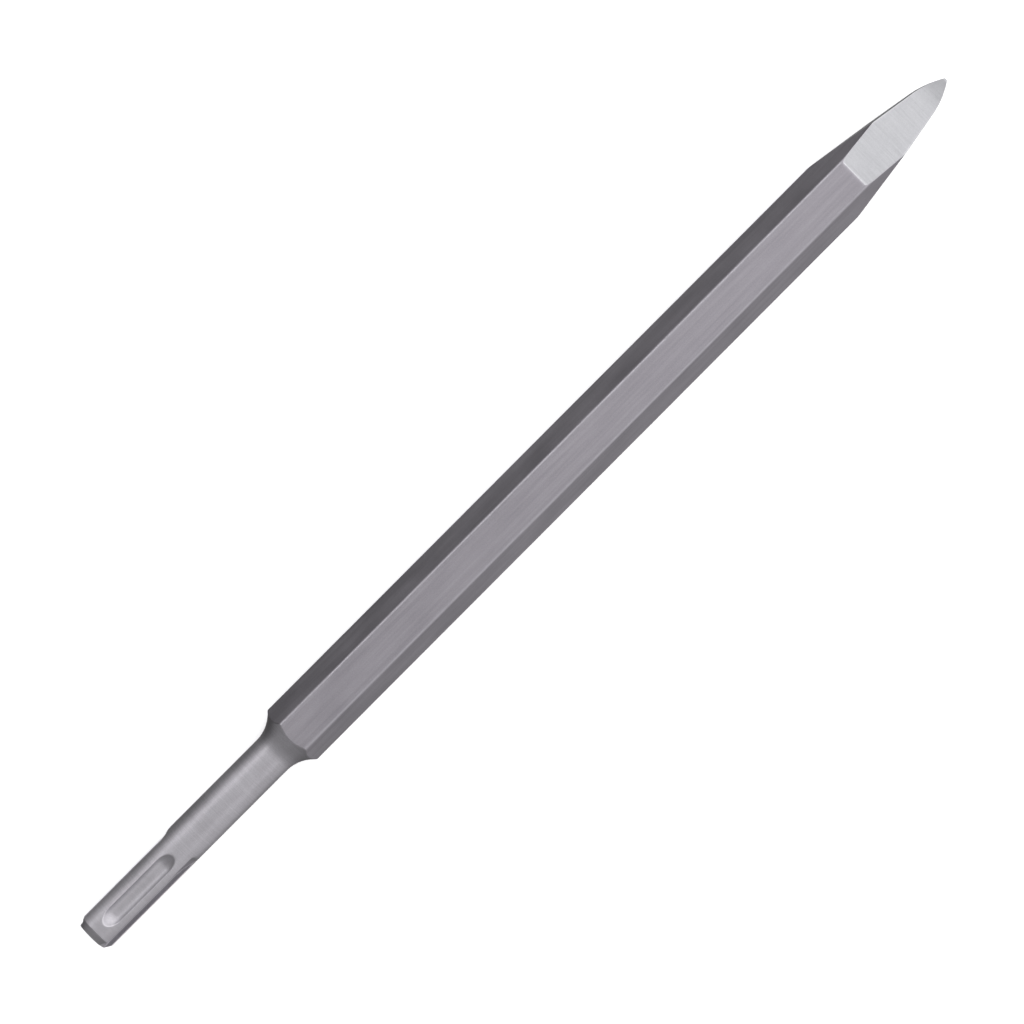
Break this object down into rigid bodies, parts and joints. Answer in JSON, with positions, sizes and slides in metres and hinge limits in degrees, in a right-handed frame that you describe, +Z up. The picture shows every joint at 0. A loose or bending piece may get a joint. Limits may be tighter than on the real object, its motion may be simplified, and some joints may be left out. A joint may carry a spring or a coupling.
{
  "type": "pointed chisel",
  "caption": "Pointed steel chisel for a demolition hammer: a round grooved shank, a flared shoulder, a hexagonal bar and a ground four-sided point.",
  "frame": {"origin": "centre of the flat struck end, on the tool axis", "axes": "+X along the tool axis towards the point; +Z up, square to the flat of the hexagonal bar that lies above the axis; the single open drive groove faces +Y and the closed grooves face +Z and -Z"},
  "size_m": [0.508, 0.0294, 0.026],
  "materials": {
    "forged_steel": "satin"
  },
  "bodies": {
    "root": {"pointed_chisel": "forged_steel"}
  },
  "joints": []
}
